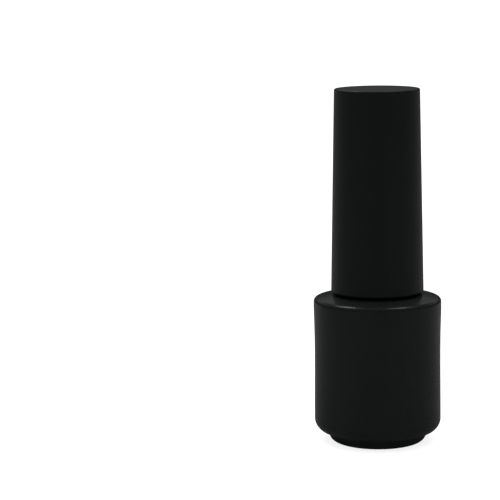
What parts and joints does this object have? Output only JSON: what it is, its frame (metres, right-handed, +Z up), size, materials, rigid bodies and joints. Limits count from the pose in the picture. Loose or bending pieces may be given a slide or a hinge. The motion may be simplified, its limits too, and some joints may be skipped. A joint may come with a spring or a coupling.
{
  "type": "nail gel bottle with brush cap",
  "caption": "Squat round nail gel bottle in opaque black glass, closed by a tall tapered matt screw cap that carries a bristle brush on a milky plastic stem.",
  "frame": {"origin": "middle of the foot ring, on the surface the bottle stands on", "axes": "+Z up along the axis of the bottle and cap; +X runs along the width of the strip in the brush"},
  "size_m": [0.0272, 0.0272, 0.0755],
  "materials": {
    "black_glass": "opaque black, satin gloss",
    "matt_black_cap": "matt, very fine texture",
    "black_inner_cap": "plain moulded",
    "pale_washer": "fine closed-cell foam",
    "milky_stem": "translucent, semi-gloss",
    "dark_bristle": "smooth filaments",
    "strip_metal": "rolled strip"
  },
  "bodies": {
    "bottle": {"bottle_glass": "black_glass"},
    "liner": {"seal_liner": "pale_washer"},
    "cap": {"overcap": "matt_black_cap", "inner_cap": "black_inner_cap", "brush_stem": "milky_stem", "tuft": "dark_bristle", "anchor_staple": "strip_metal"}
  },
  "joints": [
    {"name": "cap_lift", "type": "slide", "parent": "bottle", "child": "liner", "axis": [0, 0, 1], "range_m": [0, 0.055]},
    {"name": "cap_turn", "type": "hinge", "parent": "liner", "child": "cap", "pos_m": [0, 0, 0.046], "axis": [0, 0, 1], "range_deg": [0, 540]}
  ]
}
